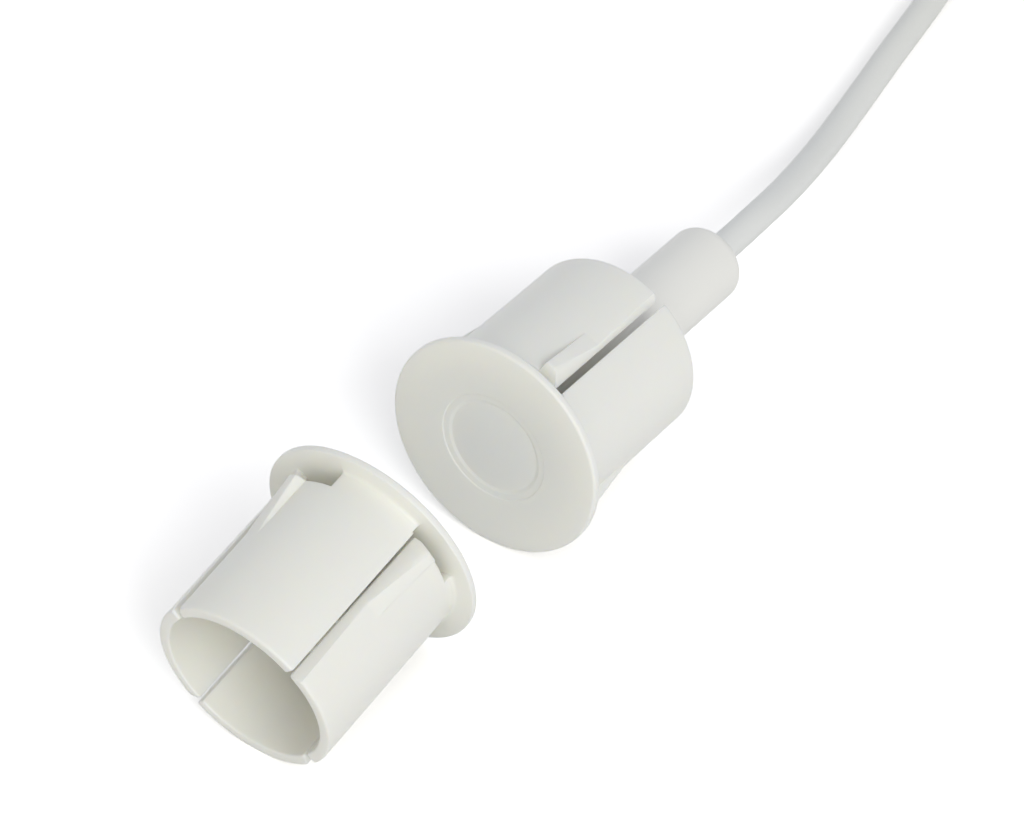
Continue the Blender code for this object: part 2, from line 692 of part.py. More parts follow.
def build():
    """Make the pair and lay it on the table about the middle of its own box."""
    clear_scene()
    parts = make_collection("recessed_magnetic_contact")
    tools = make_collection("construction")

    tilt = REST_TILT
    shoulder = INSERT_RADIUS - CAPSULE_END_ROUND
    ahead = ((CAPSULE_END - CAPSULE_END_ROUND) * math.cos(tilt) + shoulder * math.sin(tilt)
             + CAPSULE_END_ROUND)
    behind = BARREL_LENGTH * math.cos(tilt) + (BARREL_RADIUS - RIM_OUTER_CHAMFER) * math.sin(tilt)
    apart = FACE_GAP + 2.0 * FLANGE_THICKNESS * math.cos(tilt)
    switch_x = 0.5 * (apart + behind - ahead)
    switch_frame = half_frame("switch_half", parts, switch_x, -0.5 * SIDE_OFFSET, 0.0)
    magnet_frame = half_frame("magnet_half", parts, switch_x - apart, 0.5 * SIDE_OFFSET, math.pi)
    bpy.context.view_layer.update()

    mesh = sleeve_mesh(tools)
    sleeve("switch_sleeve", mesh, SWITCH_ROLL, switch_frame, parts)
    sleeve("magnet_sleeve", mesh, MAGNET_ROLL, magnet_frame, parts)
    reed_unit(switch_frame, tools, parts)
    magnet_unit(magnet_frame, parts)
    cable(switch_frame, parts)


build()
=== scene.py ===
"""Recessed magnetic contact: the looks of the switch half, the magnet half and the cable."""

import math

import bmesh
import bpy
import numpy as np
from mathutils import Matrix, Vector


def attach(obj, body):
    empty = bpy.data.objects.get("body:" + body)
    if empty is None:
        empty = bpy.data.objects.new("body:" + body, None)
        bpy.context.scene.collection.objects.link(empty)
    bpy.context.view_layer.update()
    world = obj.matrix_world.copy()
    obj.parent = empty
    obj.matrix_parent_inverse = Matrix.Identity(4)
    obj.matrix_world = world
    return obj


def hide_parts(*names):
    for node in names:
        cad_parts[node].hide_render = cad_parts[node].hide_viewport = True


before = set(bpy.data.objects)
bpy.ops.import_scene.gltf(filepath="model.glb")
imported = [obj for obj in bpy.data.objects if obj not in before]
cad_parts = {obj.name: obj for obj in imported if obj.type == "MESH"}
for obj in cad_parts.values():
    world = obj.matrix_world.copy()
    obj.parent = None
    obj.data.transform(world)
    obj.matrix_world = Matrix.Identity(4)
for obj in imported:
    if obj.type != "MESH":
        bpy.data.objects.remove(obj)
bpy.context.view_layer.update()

MM = 0.001

# Sleeve, in millimetres, heights from the flange's seat towards the open end
BARREL_R = 9.5
BARREL_LENGTH = 19.0
BORE_R = 8.35
RIM_OUTER = 0.25
RIM_INNER = 0.2
FLANGE_R = 11.5
FLANGE_T = 0.8
FRONT_ROUND = 0.3
BACK_ROUND = 0.12
FILLET = 0.4
ROOT = -0.3

# Rings on the flange's front
RING_R = 5.85
RING_DEPTH = 0.10
RING_FLANK = 0.16
GROOVE_R = 5.20
GROOVE_DEPTH = 0.16
GROOVE_FLANK = 0.44
DISC_R = 4.70
DISC_RISE = 0.012
DISC_FLANK = 0.04

# Slits, wide and narrow by turns, each with a sloped flank along the finger after it
HALF_SLIT = 0.36
HALF_NARROW_SLIT = 0.2
MOUTH = 0.2
MOUTH_FADE = 2.0
FLANK = 0.96
FLANK_RISE = math.tan(math.radians(46.0))
FLANK_TAPER = math.radians(1.6)
FLANK_SLOPE = FLANK_RISE / math.cos(FLANK_TAPER)
FLANK_FALL = math.tan(FLANK_TAPER)
FLANK_BASE = (BARREL_R - (FLANK + HALF_NARROW_SLIT) * FLANK_RISE) / math.cos(FLANK_TAPER)
FLANK_EDGE = 0.08
FLANK_BLEND = 0.06
CREASE_SOFT = 0.05

# Windows that free the fingers from the flange, wide and narrow by turns along the axis,
# and the barb of each finger, between its window and its slit
FINGER = math.radians(35.0)
WIDE_WINDOW = 1.85
NARROW_WINDOW = 0.9
TOOTH = 0.16
BARB_Y = 2.50
BARB_SIDE = 0.12
BARB_HEIGHT = 1.1
BARB_TAIL = 9.1
SIDE_FADE = 0.25
WIDE_TIP = 2.3
NARROW_TIP = 1.5

# Rounded edges, and the rows and columns that follow them
EDGE = 0.12
INNER_EDGE = 0.07
THIN_EDGE = 0.02
EDGE_STEPS = (0.0, 0.03, 0.07, EDGE)
SLIT_STEPS = (0.0, 0.02, 0.05, EDGE)
FOOT_STEPS = (0.0, 0.06, 0.16)
RIM_STEPS = (RIM_OUTER, 0.17, 0.1, 0.05, 0.02, 0.0)
TOE_STEPS = (0.015, 0.045, 0.085, 0.135)
TOE_START = 0.01
FOOT_ROWS = (0.0, 0.03, 0.08, 0.16, 0.26)
WINDOW_ROWS = (0.65, 1.25, 1.5, 2.3)
BARB_ROWS = np.arange(2.9, BARB_TAIL - 0.3, 0.6)
TAIL_ROWS = (BARB_TAIL - 0.2, BARB_TAIL, BARB_TAIL + 0.2)
BARREL_ROWS = np.arange(11.2, 17.6, 0.8)
END_ROWS = (17.8, 18.1, 18.35, 18.55)
ROW_APART = 0.008
BEFORE_CREASE = (0.35, 0.7)
AFTER_CREASE = (0.2, 0.4, 0.6, 0.8)
CREASE_ROOM = 3.0 * CREASE_SOFT
FREE_COLUMNS = 10
FIXED_COLUMNS = 26
SLIT_SIDE = 0.2
TINY = 1e-9
AWAY = 99.0

# For each window: the barb's heel and tip, and half the width of the slit beside it
BARBS = {
    WIDE_WINDOW: (WIDE_WINDOW, WIDE_TIP, HALF_SLIT),
    NARROW_WINDOW: (NARROW_WINDOW - TOE_STEPS[0], NARROW_TIP, HALF_NARROW_SLIT),
}

# Socket, capsule, magnet and cable
INSERT_R = 4.0
SOCKET_R = 4.15
SOCKET_WALL = 1.0
SOCKET_HEIGHT = 10.0
SOCKET_CHAMFER = 0.2
BOSS_ROUND = 0.12
BOSS_FILLET = 0.25
CAPSULE_WALL = 0.7
CAPSULE_START = 0.3
CAPSULE_END = 36.5
CAPSULE_END_WALL = 1.4
CAPSULE_ROUND = 1.4
CABLE_R = 1.55
CABLE_HOLE = 1.7
HOLE_ROUND = 0.12
MAGNET_TOP = 8.3
MAGNET_ROUND = 0.3
RESIN_TOP = 9.5
RESIN_DISH = ((0.0, 0.28), (1.6, 0.26), (2.8, 0.18), (3.5, 0.06), (3.85, 0.0))
RESIN_SIDE_GAP = 0.02
RESIN_GAP = 0.1

# Places of the two halves: where each flange's seat lies, and how the sleeve is turned
TILT = math.atan2(FLANGE_R - BARREL_R, BARREL_LENGTH - RIM_OUTER)
SWITCH = ((0.294, -1.0), 0.0, math.radians(33.4))
MAGNET = ((-16.997, 1.0), math.pi, math.radians(46.0))


def add_object(name, data):
    """A new object in the scene."""
    made = bpy.data.objects.new(name, data)
    bpy.context.scene.collection.objects.link(made)
    return made


# Camera

LENS = 143.61
CAMERA_PLACE = (-216.93, -160.27, 281.28)
CAMERA_AHEAD = (0.5758, 0.4177, -0.7028)
CAMERA_UP = (0.578, 0.400, 0.7113)


def make_camera():
    """The camera at the photograph's angle."""
    data = bpy.data.cameras.new("camera")
    data.sensor_fit = "HORIZONTAL"
    data.sensor_width = 36.0
    data.lens = LENS
    data.clip_start = 0.01
    data.clip_end = 20.0
    ahead = Vector(CAMERA_AHEAD).normalized()
    right = ahead.cross(Vector(CAMERA_UP)).normalized()
    turn = Matrix((right, right.cross(ahead), -ahead)).transposed().to_4x4()
    camera = add_object("camera", data)
    camera.matrix_world = Matrix.Translation(Vector(CAMERA_PLACE) * MM) @ turn
    bpy.context.scene.camera = camera


make_camera()


# Materials

SUBSURFACE_RADIUS = (1.0, 0.85, 0.6)
SUBSURFACE_SCALE = 0.0012
ROUGHNESS_SPREAD = 0.06


def node(tree, kind, **values):
    """A shader node with some of its settings or sockets set."""
    made = tree.nodes.new(kind)
    for name, value in values.items():
        key = name.replace("_", " ")
        if key in made.inputs:
            made.inputs[key].default_value = value
        else:
            setattr(made, name, value)
    return made


def plastic(name, colour, other, roughness, grain=0.00002, mottle=60.0, fine=2600.0,
            subsurface=0.0, metallic=0.0, transmission=0.0):
    """A satin surface: two close tones in soft patches, varied roughness and a fine grain."""
    material = bpy.data.materials.new(name)
    material.use_nodes = True
    tree = material.node_tree
    shader = tree.nodes["Principled BSDF"]
    shader.inputs["Metallic"].default_value = metallic
    shader.inputs["Transmission Weight"].default_value = transmission
    shader.inputs["Subsurface Weight"].default_value = subsurface
    shader.inputs["Subsurface Radius"].default_value = SUBSURFACE_RADIUS
    shader.inputs["Subsurface Scale"].default_value = SUBSURFACE_SCALE
    place = node(tree, "ShaderNodeTexCoord").outputs["Object"]
    link = tree.links.new

    soft = node(tree, "ShaderNodeTexNoise", Scale=mottle, Detail=3.0, Roughness=0.55)
    link(place, soft.inputs["Vector"])
    tones = node(tree, "ShaderNodeMix", data_type="RGBA")
    tones.inputs[6].default_value = (*colour, 1.0)
    tones.inputs[7].default_value = (*other, 1.0)
    link(soft.outputs["Fac"], tones.inputs["Factor"])
    link(tones.outputs[2], shader.inputs["Base Color"])

    spots = node(tree, "ShaderNodeTexNoise", Scale=mottle * 7.0, Detail=4.0, Roughness=0.6)
    link(place, spots.inputs["Vector"])
    gloss = node(tree, "ShaderNodeMapRange")
    gloss.inputs["To Min"].default_value = roughness - ROUGHNESS_SPREAD
    gloss.inputs["To Max"].default_value = roughness + ROUGHNESS_SPREAD
    link(spots.outputs["Fac"], gloss.inputs["Value"])
    link(gloss.outputs["Result"], shader.inputs["Roughness"])

    tooth = node(tree, "ShaderNodeTexNoise", Scale=fine, Detail=3.0, Roughness=0.5)
    link(place, tooth.inputs["Vector"])
    bump = node(tree, "ShaderNodeBump", Strength=0.35, Distance=grain)
    link(tooth.outputs["Fac"], bump.inputs["Height"])
    link(bump.outputs["Normal"], shader.inputs["Normal"])
    return material


WHITE = plastic("moulded_white", (0.897, 0.890, 0.828), (0.912, 0.905, 0.846), 0.42,
                subsurface=0.55)
CAPSULE = plastic("capsule_white", (0.915, 0.905, 0.845), (0.925, 0.915, 0.860), 0.42)
JACKET = plastic("cable_jacket", (0.830, 0.835, 0.800), (0.850, 0.855, 0.822), 0.46,
                 mottle=120.0, fine=3400.0)
RESIN = plastic("potting_resin", (0.62, 0.60, 0.50), (0.68, 0.66, 0.57), 0.28, mottle=400.0)
GLASS = plastic("reed_glass_finish", (0.80, 0.90, 0.85), (0.84, 0.92, 0.88), 0.10,
                transmission=0.9)
REED = plastic("reed_metal_finish", (0.62, 0.59, 0.54), (0.68, 0.65, 0.60), 0.30, metallic=1.0)
NICKEL = plastic("nickel_finish", (0.60, 0.58, 0.54), (0.68, 0.66, 0.62), 0.28, mottle=500.0,
                 metallic=1.0)
TIN = plastic("tin_finish", (0.62, 0.62, 0.63), (0.74, 0.74, 0.75), 0.33, mottle=900.0,
              metallic=1.0)
CORES = {
    "white": plastic("core_white_finish", (0.76, 0.76, 0.73), (0.80, 0.80, 0.78), 0.42),
    "brown": plastic("core_brown_finish", (0.13, 0.055, 0.025), (0.17, 0.075, 0.035), 0.42),
    "yellow": plastic("core_yellow_finish", (0.76, 0.54, 0.04), (0.82, 0.60, 0.06), 0.42),
    "green": plastic("core_green_finish", (0.04, 0.29, 0.08), (0.05, 0.35, 0.10), 0.42),
}


# Cable, in millimetres. ROUTE repeats part.py's points, and the coil, which lies outside the
# view, takes up the rest of the length where part.py has one closed ring.

ROUTE = [
    (32.810, -1.0, 7.967), (36.588, -1.0, 7.564), (40.963, -1.0, 7.097),
    (45.50, -0.80, 6.45), (50.70, -0.20, 5.15), (56.30, 0.70, 3.75), (62.00, 1.70, 2.55),
    (68.00, 2.70, 1.85), (74.00, 3.60, 1.55), (80.00, 4.40, 1.55), (86.00, 5.10, 1.55),
    (92.00, 5.90, 1.55), (96.00, 6.70, 1.55), (100.00, 8.00, 1.55), (101.29, 8.50, 1.55),
    (105.00, 9.94, 1.55), (109.00, 11.49, 1.55),
]
COIL_CENTRE = (119.69, -5.40)
COIL_START = math.radians(111.25)
COIL_LANES = (19.65, 16.55, 13.45)
COIL_LAYERS = 7
COIL_LANE = 3.1
STEP_TURN = 0.15
LAST_TURN = 0.60
POINTS_PER_TURN = 20
CORE_FAN = (13.025, 14.475, 15.925, 17.375)
CORE_R = 0.4
CORE_INSIDE = 0.55
TIP_R = 0.24


def ease(t):
    """A smooth step from 0 to 1."""
    t = min(max(t, 0.0), 1.0)
    return t * t * (3.0 - 2.0 * t)


def coil_stretches():
    """Stretches of the coil: turns, the lane's radius and the layer at both ends of each."""
    made = []
    for layer in range(COIL_LAYERS):
        lanes = COIL_LANES if layer % 2 == 0 else COIL_LANES[::-1]
        for k, lane in enumerate(lanes):
            if layer == COIL_LAYERS - 1 and k == 1:
                return [*made, (LAST_TURN, lane, lane, layer, layer)]
            turns = 1.0 - STEP_TURN * (2.0 if k in (0, len(lanes) - 1) else 1.0)
            made.append((turns, lane, lane, layer, layer))
            if k < len(lanes) - 1:
                made.append((STEP_TURN, lane, lanes[k + 1], layer, layer))
            else:
                made.append((STEP_TURN, lane, lane, layer, layer + 1))
    return made


def coil_points():
    """The cable's turns: lanes side by side in flat layers, wound in and out by turns."""
    spots = []
    turned = 0.0
    for turns, start, end, low, high in coil_stretches():
        count = max(3, round(POINTS_PER_TURN * turns))
        for k in range(count):
            share = k / count
            spots.append((turned + turns * share, start + (end - start) * ease(share),
                          low + (high - low) * ease(share)))
        turned += turns
    spots.append((turned, end, high))
    made = []
    for turn, radius, layer in spots:
        angle = COIL_START - 2.0 * math.pi * turn
        made.append((COIL_CENTRE[0] + radius * math.cos(angle),
                     COIL_CENTRE[1] + radius * math.sin(angle), CABLE_R + COIL_LANE * layer))
    return made


def cord_curve(name, points, radius, material, sides=4, resolution=3):
    """A round wire through the points, in millimetres."""
    curve = bpy.data.curves.new(name, "CURVE")
    curve.dimensions = "3D"
    curve.bevel_depth = radius * MM
    curve.bevel_resolution = sides
    curve.resolution_u = resolution
    curve.use_fill_caps = True
    line = curve.splines.new("BEZIER")
    line.bezier_points.add(len(points) - 1)
    for knot, spot in zip(line.bezier_points, points):
        knot.co = Vector(spot) * MM
        knot.handle_left_type = "AUTO"
        knot.handle_right_type = "AUTO"
    wire = add_object(name, curve)
    curve.materials.append(material)
    return wire


cable = cord_curve("cable", ROUTE + coil_points(), CABLE_R, JACKET, sides=6, resolution=4)
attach(cable, "root")
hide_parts("cable_run", "cable_coil", "cable_tail")


def free_cores():
    """Four cores that fan out of the jacket's end on the coil, each with its tinned tip."""
    lane = COIL_LANES[1]
    end = COIL_START - 2.0 * math.pi * sum(stretch[0] for stretch in coil_stretches())
    shelf = COIL_LANE * (COIL_LAYERS - 1)
    rest = shelf + CORE_R

    def spot(ahead, radius, height):
        angle = end - ahead / lane
        return (COIL_CENTRE[0] + radius * math.cos(angle),
                COIL_CENTRE[1] + radius * math.sin(angle), height)

    made = []
    for colour, apart, side, level in zip(CORES, CORE_FAN, (-1, -1, 1, 1), (1, -1, -1, 1)):
        root = lane + CORE_INSIDE * side
        high = shelf + CABLE_R + CORE_INSIDE * level
        points = [spot(-0.6, root, high), spot(0.6, root, high), spot(1.8, root, high)]
        for ahead, spread, lift in ((4.5, 0.4, 0.6), (8.25, 0.85, 0.1), (12.0, 1.0, 0.0),
                                    (15.2, 1.0, 0.0)):
            up = lift * (high - rest) if level > 0 else 0.0
            points.append(spot(ahead, root + spread * (apart - root), rest + up))
        core = cord_curve("core_" + colour + "_wire", points, CORE_R, CORES[colour], 4, 8)
        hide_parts("core_" + colour)
        strands = [spot(ahead, apart, rest) for ahead in (15.0, 16.5, 18.1, 19.7)]
        tip = cord_curve("tip_" + colour + "_wire", strands, TIP_R, TIN, 4, 6)
        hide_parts("tip_" + colour)
        for piece in (core, tip):
            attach(piece, "root")
            made.append(piece)
    return made


free_cores()


# Mesh helpers

SHARP_ANGLE = math.radians(38.0)


def smooth(mesh):
    """Smooth shading, with the sharp edges kept."""
    mesh.shade_smooth()
    mesh.set_sharp_from_angle(angle=SHARP_ANGLE)


def new_piece(name, verts, faces, material, matrix=None):
    """A smooth-shaded mesh object from points in millimetres."""
    mesh = bpy.data.meshes.new(name)
    mesh.from_pydata([tuple(MM * c for c in v) for v in verts], [], faces)
    mesh.validate()
    shape = bmesh.new()
    shape.from_mesh(mesh)
    bmesh.ops.recalc_face_normals(shape, faces=shape.faces)
    shape.to_mesh(mesh)
    shape.free()
    mesh.materials.append(material)
    smooth(mesh)
    if matrix is not None:
        mesh.transform(matrix)
    return add_object(name, mesh)


def revolve(profile, count, closed=False):
    """Points and faces of an (r, z) profile turned about Z. Points on the axis become poles."""
    verts = []
    rings = []
    for r, z in profile:
        if r < TINY:
            rings.append([len(verts)] * count)
            verts.append((0.0, 0.0, z))
        else:
            rings.append(list(range(len(verts), len(verts) + count)))
            verts += [(r * math.cos(2.0 * math.pi * k / count),
                       r * math.sin(2.0 * math.pi * k / count), z) for k in range(count)]
    faces = []
    pairs = list(zip(rings, rings[1:]))
    if closed:
        pairs.append((rings[-1], rings[0]))
    for low, high in pairs:
        for k in range(count):
            m = (k + 1) % count
            corners = [low[k], low[m], high[m], high[k]]
            face = [v for n, v in enumerate(corners) if v not in corners[:n]]
            if len(face) > 2:
                faces.append(face)
    return verts, faces


def arc(centre, radius, start, end, steps):
    """Points of a circular arc in a profile, angles in degrees."""
    return [(centre[0] + radius * math.cos(math.radians(start + (end - start) * k / steps)),
             centre[1] + radius * math.sin(math.radians(start + (end - start) * k / steps)))
            for k in range(steps + 1)]


def soft_step(r_out, width, z_out, z_in, steps=8):
    """A smooth step in a profile, from the radius r_out inwards."""
    return [(r_out - width * k / steps, z_out + (z_in - z_out) * ease(k / steps))
            for k in range(steps + 1)]


def half_matrix(place, turn=0.0):
    """From a half's own frame, on its axis with +Z to the open end, to the table."""
    (x, y), yaw, _ = place
    stand = Matrix.Translation(Vector((x, y, FLANGE_R * math.cos(TILT))) * MM)
    lean = Matrix.Rotation(0.5 * math.pi + TILT, 4, "Y")
    return stand @ Matrix.Rotation(yaw, 4, "Z") @ lean @ Matrix.Rotation(turn, 4, "Z")


# Sleeve

def drop(distance, radius):
    """How far a rounded edge lies below the sharp one at a distance from it."""
    d = np.clip(distance, 0.0, radius)
    return radius - np.sqrt(np.maximum(radius * radius - (radius - d) ** 2, 0.0))


def barb_height(s, heel):
    """Height of the barb's straight ramp over the barrel."""
    return BARB_HEIGHT * np.clip((BARB_TAIL - s) / (BARB_TAIL - heel), 0.0, 1.0)


def finger_rows(heel):
    """Heights of a finger's rows, close together at edges and far apart elsewhere."""
    rows = [ROOT, *FOOT_ROWS, FILLET, *WINDOW_ROWS, heel]
    rows += [edge + d for edge in (NARROW_WINDOW, WIDE_WINDOW) for d in EDGE_STEPS]
    rows += [heel + d for d in TOE_STEPS]
    rows += [*BARB_ROWS, *TAIL_ROWS, *BARREL_ROWS, *END_ROWS]
    rows += [BARREL_LENGTH - d for d in RIM_STEPS]
    kept = []
    for row in sorted(rows):
        if not kept or row - kept[-1] > ROW_APART:
            kept.append(row)
    return np.array(kept)


def finger_columns(rows, heel, near_half, far_half):
    """Columns of every row. Those by the first slit follow the crease of its flank.

    Returns the angles on the outer and on the inner wall, and the distances from the middle of
    the first and of the next slit, which are AWAY for columns that lie by neither.
    """
    near = [near_half + d for d in SLIT_STEPS]
    pad = [BARB_Y - d for d in EDGE_STEPS[::-1]] + [BARB_Y + BARB_SIDE + d for d in FOOT_STEPS]
    edge = [FINGER + d / BARREL_R for d in EDGE_STEPS]
    far = [base + d for base in (far_half + TOOTH, far_half) for d in EDGE_STEPS[::-1]]
    angles, inner_angles, gaps, far_gaps = [], [], [], []
    for s in rows:
        tall = barb_height(s, heel) if s > heel + TOE_START else 0.0
        crease = HALF_NARROW_SLIT + FLANK
        crease += (tall - (BARREL_LENGTH - s) * FLANK_FALL) / FLANK_SLOPE
        crease = min(max(crease, near[-1] + CREASE_ROOM), pad[0] - CREASE_ROOM)
        low, high = crease - CREASE_SOFT, crease + CREASE_SOFT
        ys = near + [near[-1] + (low - near[-1]) * f for f in BEFORE_CREASE]
        ys += [low, crease, high]
        ys += [high + (pad[0] - high) * f for f in AFTER_CREASE] + pad
        first = [math.asin(y / BARREL_R) for y in ys]
        inner_first = [math.asin(y / BORE_R) for y in ys]
        last = [0.5 * math.pi - math.asin(y / BARREL_R) for y in far]
        inner_last = [0.5 * math.pi - math.asin(y / BORE_R) for y in far]
        free = np.linspace(max(first[-1], inner_first[-1]), edge[0], FREE_COLUMNS)
        fixed = np.linspace(edge[-1], min(last[0], inner_last[0]), FIXED_COLUMNS)
        middle = [*free[1:-1], *edge, *fixed[1:-1]]
        angles.append(first + middle + last)
        inner_angles.append(inner_first + middle + inner_last)
        gaps.append(ys + [AWAY] * (len(middle) + len(far)))
        far_gaps.append([AWAY] * (len(ys) + len(middle)) + far)
    return [np.array(grid) for grid in (angles, inner_angles, gaps, far_gaps)]


def corner_distance(past, along, depth):
    """Distance from a cut's edge, for points past its side or beyond its depth."""
    beyond = np.where(depth > TINY, np.hypot(along, depth), along)
    return np.where(past, depth, beyond)


def outer_wall(a, s, y_near, near_half, heel, tip, to_window, rounding):
    """Radius and height of the outer wall: barrel, fillet and barb, cut by the flank."""
    fillet = np.where(s < FILLET, FILLET - np.sqrt(np.maximum(
        FILLET ** 2 - (FILLET - np.maximum(s, 0.0)) ** 2, 0.0)), 0.0)
    on_pad = (y_near < BARB_Y + TINY) & (s > heel + TOE_START)
    tall = np.where(on_pad, barb_height(s, heel), 0.0)
    fade = np.clip(tall / SIDE_FADE, 0.0, 1.0)
    side_drop = np.where(on_pad, drop(BARB_Y - y_near, EDGE) * fade, 0.0)
    toe_drop = np.where(on_pad, drop(s - heel - TOE_STEPS[0], EDGE), 0.0)
    outer = BARREL_R + fillet + tall - np.maximum(np.minimum(side_drop, tall), toe_drop)
    outer -= np.maximum(np.where(tall > 0.0, 0.0, drop(to_window, EDGE)), rounding)

    # The barb's end leans, so heights depend on the radius, and the radius at the flank on
    # the height: three rounds settle both
    rake = (heel - tip) / BARB_HEIGHT
    leans = (s > heel + TOE_START) * (y_near < AWAY)
    height = s - rake * np.maximum(outer - BARREL_R - fillet, 0.0)
    for _ in range(3):
        plane = FLANK_BASE + (BARREL_LENGTH - height) * FLANK_FALL
        plane = plane / (np.cos(a) - FLANK_SLOPE * np.sin(a))
        plane = np.where(y_near < AWAY, plane, AWAY) - drop(y_near - near_half, FLANK_EDGE)
        blend = np.clip(0.5 + 0.5 * (plane - outer) / FLANK_BLEND, 0.0, 1.0)
        low = plane * (1.0 - blend) + outer * blend
        low = np.where(y_near < AWAY, low - 0.5 * FLANK_BLEND * blend * (1.0 - blend), outer)
        height = s - rake * np.maximum(low - BARREL_R, 0.0) * leans
    return low, height


def joined_walls(outer, inner, live):
    """Points and faces of two walls of the same grid, joined along the outline of live cells."""
    verts = []
    for radius, turn, height in (outer, inner):
        verts += zip((radius * np.cos(turn)).ravel(), (-radius * np.sin(turn)).ravel(),
                     height.ravel())
    rows, columns = live.shape
    width = columns + 1
    size = (rows + 1) * width
    faces = []
    for i, j in zip(*np.nonzero(live)):
        q = (i * width + j, i * width + j + 1, (i + 1) * width + j + 1, (i + 1) * width + j)
        faces.append(q)
        faces.append(tuple(size + v for v in reversed(q)))
        sides = (((i - 1, j), q[1], q[0]), ((i, j + 1), q[2], q[1]),
                 ((i + 1, j), q[3], q[2]), ((i, j - 1), q[0], q[3]))
        for (p, r), first, second in sides:
            if not (0 <= p < rows and 0 <= r < columns and live[p, r]):
                faces.append((first, second, size + second, size + first))
    used = sorted({v for face in faces for v in face})
    lookup = {v: n for n, v in enumerate(used)}
    return [verts[v] for v in used], [tuple(lookup[v] for v in face) for face in faces]


def finger(window, far_window):
    """A quarter of the sleeve between two slits, with its flank, its barb and its notch.

    The first slit lies at angle 0 and the finger runs to negative angles. The outer and the
    inner wall are grids over angle and height, joined along the finger's outline.
    """
    heel, tip, near_half = BARBS[window]
    far_half = BARBS[far_window][2]
    wall = far_half + TOOTH
    rows = finger_rows(heel)
    a, a_in, y_near, y_far = finger_columns(rows, heel, near_half, far_half)
    s = np.repeat(rows[:, None], a.shape[1], axis=1)

    # Distances from the finger's outline
    to_window = corner_distance(a < FINGER - TINY, BARREL_R * (a - FINGER), s - window)
    to_tooth = corner_distance(y_far < wall - TINY, y_far - wall, s - far_window)
    to_tooth = np.where(y_far < AWAY, to_tooth, AWAY)
    near_d = y_near - near_half
    far_d = y_far - far_half
    end_d = BARREL_LENGTH - s

    before_edge = int(np.argmin(np.abs(a[0] - FINGER)))
    rounding = np.maximum.reduce([
        drop(to_tooth, EDGE), drop(far_d, EDGE), drop(end_d, RIM_OUTER)])
    outer, height = outer_wall(a, s, y_near, near_half, heel, tip, to_window, rounding)
    inner = BORE_R + np.maximum.reduce([
        drop(near_d, INNER_EDGE), drop(far_d, INNER_EDGE), drop(to_window, INNER_EDGE),
        drop(to_tooth, INNER_EDGE), drop(end_d, RIM_INNER)])
    inner = np.minimum(inner, outer - THIN_EDGE)

    # The slits keep their width at every depth
    by_near, by_far = y_near < near_half + SLIT_SIDE, y_far < wall + SLIT_SIDE
    a = np.where(by_near, np.arcsin(np.where(by_near, y_near, 0.0) / outer), a)
    a = np.where(by_far, 0.5 * math.pi - np.arcsin(np.where(by_far, y_far, 0.0) / outer), a)

    # Rounded corners at the slits' open ends
    corner = np.maximum(MOUTH - near_d, 0.0) ** 2 + np.maximum(MOUTH - far_d, 0.0) ** 2
    fade = np.clip((s - BARREL_LENGTH + MOUTH_FADE) / MOUTH_FADE, 0.0, 1.0)
    cut = corner / MOUTH * fade * fade

    level = 0.5 * (rows[:-1] + rows[1:])[:, None]
    column = np.arange(a.shape[1] - 1)[None, :]
    tooth_at = a.shape[1] - 1 - len(EDGE_STEPS)
    live = ~(((level < window) & (column < before_edge))
             | ((level < far_window) & (column >= tooth_at)))
    return joined_walls((outer, a, height - cut), (inner, a_in, s - cut), live)


def plate_profile():
    """Section of the flange and the socket boss, from the socket's floor to the front dish."""
    boss = SOCKET_R + SOCKET_WALL
    front = -FLANGE_T
    ring = front + RING_DEPTH
    groove = ring + GROOVE_DEPTH
    disc = groove - DISC_RISE
    return [
        (0.0, 0.0), (SOCKET_R, 0.0), (SOCKET_R, SOCKET_HEIGHT - SOCKET_CHAMFER),
        (SOCKET_R + SOCKET_CHAMFER, SOCKET_HEIGHT),
        *arc((boss - BOSS_ROUND, SOCKET_HEIGHT - BOSS_ROUND), BOSS_ROUND, 90, 0, 3),
        *arc((boss + BOSS_FILLET, BOSS_FILLET), BOSS_FILLET, 180, 270, 3), (BORE_R, 0.0),
        *arc((FLANGE_R - BACK_ROUND, -BACK_ROUND), BACK_ROUND, 90, 0, 4),
        *arc((FLANGE_R - FRONT_ROUND, front + FRONT_ROUND), FRONT_ROUND, 0, -90, 6),
        *soft_step(RING_R, RING_FLANK, front, ring),
        *soft_step(GROOVE_R, GROOVE_FLANK, ring, groove),
        *soft_step(DISC_R, DISC_FLANK, groove, disc)[1:], (0.0, disc),
    ]


def sleeve_mesh():
    """The sleeve moulding: flange with its socket, and four fingers joined to it."""
    verts, faces = revolve(plate_profile(), count=240)
    plate = new_piece("plate", verts, faces, WHITE)
    pieces = []
    windows = (WIDE_WINDOW, NARROW_WINDOW)
    for k in range(4):
        verts, faces = finger(windows[k % 2], windows[(k + 1) % 2])
        piece = new_piece("finger", verts, faces, WHITE)
        piece.data.transform(Matrix.Rotation(0.5 * math.pi * k, 4, "Z"))
        step = plate.modifiers.new("join", "BOOLEAN")
        step.operation = "UNION"
        step.object = piece
        step.solver = "MANIFOLD"
        pieces.append(piece)
    bpy.context.view_layer.update()
    seen = plate.evaluated_get(bpy.context.evaluated_depsgraph_get())
    mesh = bpy.data.meshes.new_from_object(seen)
    for piece in [plate, *pieces]:
        bpy.data.objects.remove(piece)
    mesh.materials.clear()
    mesh.materials.append(WHITE)
    smooth(mesh)
    return mesh


sleeve = sleeve_mesh()
for name, place in (("switch_sleeve", SWITCH), ("magnet_sleeve", MAGNET)):
    mesh = sleeve.copy()
    mesh.transform(half_matrix(place, math.pi + place[2]))
    piece = add_object(name + "_skin", mesh)
    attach(piece, "root")
    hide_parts(name)


# Capsule, magnet and resin

